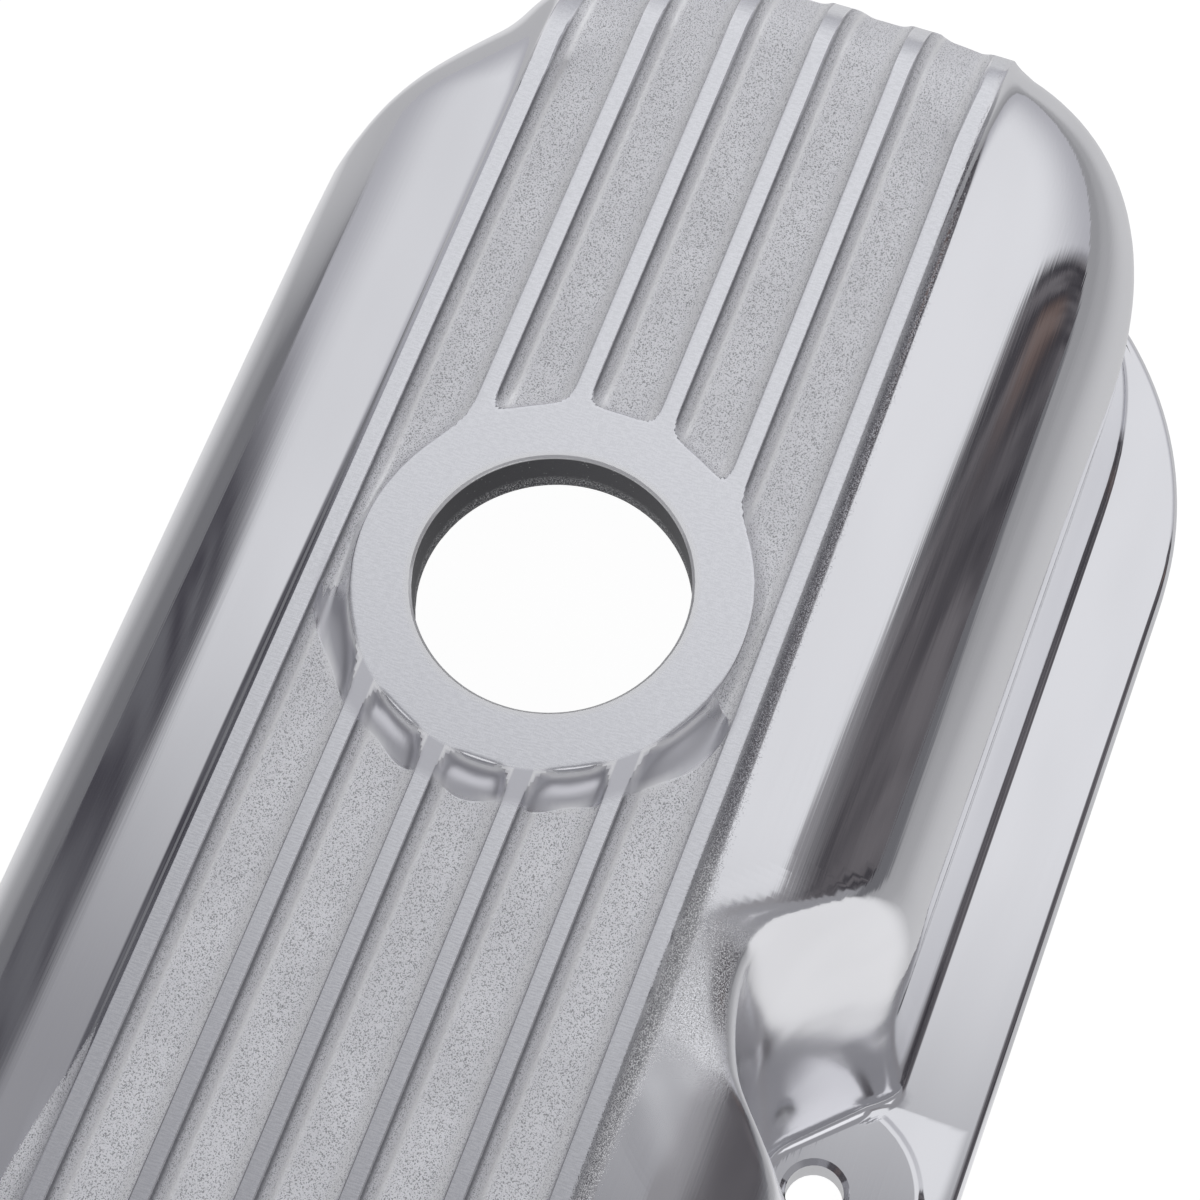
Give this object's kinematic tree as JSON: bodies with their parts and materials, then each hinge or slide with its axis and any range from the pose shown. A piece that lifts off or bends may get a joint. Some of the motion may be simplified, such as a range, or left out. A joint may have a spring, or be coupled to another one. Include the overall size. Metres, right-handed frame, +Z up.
{
  "type": "engine valve cover",
  "caption": "Finned, hand-polished cast aluminium rocker cover with rounded shoulders, scooped bolt pockets, a ringed breather hole and a flat gasket flange",
  "frame": {"origin": "middle of the gasket face, which is the bottom of the cover", "axes": "+X along the cover towards the end with the breather hole, +Y across it towards the side with the corner bolts, +Z up from the cylinder head through the fin tops"},
  "size_m": [0.445, 0.1222, 0.056],
  "materials": {
    "casting": "hand-polished, with sand-textured groove floors and brushed flat tops"
  },
  "bodies": {
    "root": {"cover_casting": "casting"}
  },
  "joints": []
}
